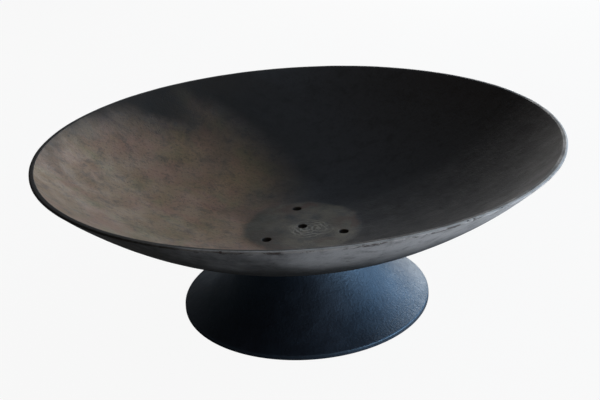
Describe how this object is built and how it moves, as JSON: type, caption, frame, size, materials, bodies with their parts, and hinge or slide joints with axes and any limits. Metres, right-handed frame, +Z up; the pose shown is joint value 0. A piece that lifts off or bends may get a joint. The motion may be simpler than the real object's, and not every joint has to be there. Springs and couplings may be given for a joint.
{
  "type": "coal fire bowl",
  "caption": "Dished round cast-iron hearth bowl for a coal fire, resting on a flared hollow pedestal foot with locating studs, and lifting straight off.",
  "frame": {"origin": "on the ground at the centre of the pedestal's foot", "axes": "+Z up along the axis that the bowl and the pedestal turn about, +Y towards the first of the three stud holes in the floor"},
  "size_m": [0.6, 0.6, 0.208],
  "materials": {
    "bowl_iron": "fired and seasoned grey iron, sooty grey to brown, rubbed bright on the lip",
    "pedestal_iron": "smooth satin black stove paint over a fine sand-cast skin",
    "fixing_steel": "plain steel, dulled by heat and lightly rusted"
  },
  "bodies": {
    "pedestal": {"pedestal": "pedestal_iron", "locating_stud_1": "fixing_steel", "locating_stud_2": "fixing_steel", "locating_stud_3": "fixing_steel", "stud_washer_1": "fixing_steel", "stud_washer_2": "fixing_steel", "stud_washer_3": "fixing_steel", "stud_nut_1": "fixing_steel", "stud_nut_2": "fixing_steel", "stud_nut_3": "fixing_steel"},
    "bowl": {"fire_bowl": "bowl_iron"}
  },
  "joints": [
    {"name": "bowl_lift", "type": "slide", "parent": "pedestal", "child": "bowl", "axis": [0, 0, 1], "range_m": [0, 0.15]}
  ]
}
